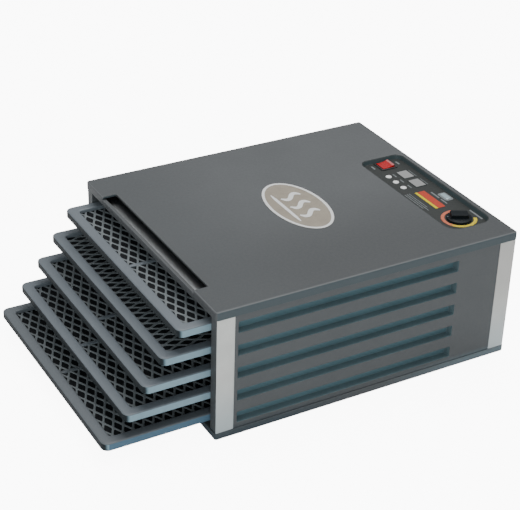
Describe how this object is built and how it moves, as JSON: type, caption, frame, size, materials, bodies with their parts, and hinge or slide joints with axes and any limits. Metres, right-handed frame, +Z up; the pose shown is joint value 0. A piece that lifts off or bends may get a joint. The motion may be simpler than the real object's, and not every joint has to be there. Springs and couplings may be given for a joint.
{
  "type": "food dehydrator",
  "caption": "Box-shaped countertop food dehydrator with pull-out mesh trays, recessed top controls and a rear fan.",
  "frame": {"origin": "centre of the cabinet footprint, on its underside, which is the standing plane", "axes": "+Z up; the open mouth faces -Y and the trays pull out towards -Y; +X is the right-hand side seen from behind the trays looking along +Y"},
  "size_m": [0.422, 0.6442, 0.208],
  "materials": {
    "cabinet_grey": "satin, fine texture",
    "rubber_black": "matte",
    "screw_steel": "plated",
    "trim_steel": "vertical brushed",
    "inner_plastic": "matte",
    "sheet_aluminium": "mill finish",
    "fan_aluminium": "stamped",
    "shaft_steel": "ground",
    "motor_iron": "lacquered",
    "bush_bronze": "sintered",
    "heater_sheath": "heat-stained",
    "ceramic_beige": "glazed",
    "panel_black": "satin",
    "dial_yellow": "printed",
    "label_orange": "printed",
    "lens_clear": "clear",
    "display_grey": "clear window over a grey display",
    "switch_black": "moulded",
    "rocker_red": "polished",
    "board_green": "solder resist",
    "button_white": "moulded",
    "thermostat_steel": "plated",
    "knob_black": "satin",
    "badge_ivory": "printed",
    "tray_plastic": "satin",
    "mesh_plastic": "satin"
  },
  "bodies": {
    "cabinet": {"base_pan": "cabinet_grey", "base_screws": "screw_steel", "side_panel_left": "cabinet_grey", "side_panel_right": "cabinet_grey", "trim_front_left": "trim_steel", "trim_front_right": "trim_steel", "trim_rear_left": "trim_steel", "trim_rear_right": "trim_steel", "front_post_left": "cabinet_grey", "front_post_right": "cabinet_grey", "rear_post_left": "inner_plastic", "rear_post_right": "inner_plastic", "front_sill": "cabinet_grey", "door_crossbar": "cabinet_grey", "top_cover": "cabinet_grey", "rear_panel": "inner_plastic", "rear_panel_screws": "screw_steel", "drip_pan": "sheet_aluminium", "chamber_ceiling": "sheet_aluminium", "tray_rack_left": "inner_plastic", "tray_rack_right": "inner_plastic", "baffle": "sheet_aluminium", "fan_shroud": "sheet_aluminium", "motor_housing": "motor_iron", "motor_bushes": "bush_bronze", "motor_bracket": "sheet_aluminium", "heater_element": "heater_sheath", "heater_clips": "sheet_aluminium", "thermal_cutoff": "ceramic_beige", "sensor_bulb": "bush_bronze", "terminal_block": "ceramic_beige", "cord_inlet": "rubber_black", "control_well": "panel_black", "dial_ring": "dial_yellow", "temperature_label": "label_orange", "indicator_lens": "lens_clear", "display_windows": "display_grey", "rocker_housing": "switch_black", "timer_board": "board_green", "thermostat_body": "thermostat_steel", "badge": "badge_ivory"},
    "tray_1": {"tray_frame_1": "tray_plastic", "tray_mesh_1": "mesh_plastic"},
    "tray_2": {"tray_frame_2": "tray_plastic", "tray_mesh_2": "mesh_plastic"},
    "tray_3": {"tray_frame_3": "tray_plastic", "tray_mesh_3": "mesh_plastic"},
    "tray_4": {"tray_frame_4": "tray_plastic", "tray_mesh_4": "mesh_plastic"},
    "tray_5": {"tray_frame_5": "tray_plastic", "tray_mesh_5": "mesh_plastic"},
    "rocker": {"power_rocker": "rocker_red"},
    "button_1": {"timer_button_1": "button_white"},
    "button_2": {"timer_button_2": "button_white"},
    "button_3": {"timer_button_3": "button_white"},
    "knob": {"thermostat_knob": "knob_black"},
    "fan": {"fan_blades": "fan_aluminium", "fan_shaft": "shaft_steel", "motor_rotor": "motor_iron"}
  },
  "joints": [
    {"name": "tray_1_slide", "type": "slide", "parent": "cabinet", "child": "tray_1", "axis": [0, -1, 0], "range_m": [-0.0703, 0.2597]},
    {"name": "tray_2_slide", "type": "slide", "parent": "cabinet", "child": "tray_2", "axis": [0, -1, 0], "range_m": [-0.0944, 0.2356]},
    {"name": "tray_3_slide", "type": "slide", "parent": "cabinet", "child": "tray_3", "axis": [0, -1, 0], "range_m": [-0.1203, 0.2097]},
    {"name": "tray_4_slide", "type": "slide", "parent": "cabinet", "child": "tray_4", "axis": [0, -1, 0], "range_m": [-0.1477, 0.1823]},
    {"name": "tray_5_slide", "type": "slide", "parent": "cabinet", "child": "tray_5", "axis": [0, -1, 0], "range_m": [-0.1797, 0.1503]},
    {"name": "rocker_tilt", "type": "hinge", "parent": "cabinet", "child": "rocker", "pos_m": [-0.0635, 0.199, 0.196], "axis": [1, 0, 0], "range_deg": [-16, 0]},
    {"name": "button_1_press", "type": "slide", "parent": "cabinet", "child": "button_1", "axis": [0, 0, -1], "range_m": [0, 0.001], "stiffness_N_per_m": 300},
    {"name": "button_2_press", "type": "slide", "parent": "cabinet", "child": "button_2", "axis": [0, 0, -1], "range_m": [0, 0.001], "stiffness_N_per_m": 300},
    {"name": "button_3_press", "type": "slide", "parent": "cabinet", "child": "button_3", "axis": [0, 0, -1], "range_m": [0, 0.001], "stiffness_N_per_m": 300},
    {"name": "knob_turn", "type": "hinge", "parent": "cabinet", "child": "knob", "pos_m": [0.131, 0.199, 0.198], "axis": [0, 0, -1], "range_deg": [0, 270]},
    {"name": "fan_spin", "type": "hinge", "parent": "cabinet", "child": "fan", "pos_m": [0, 0.197, 0.088], "axis": [0, 1, 0], "continuous": true}
  ]
}
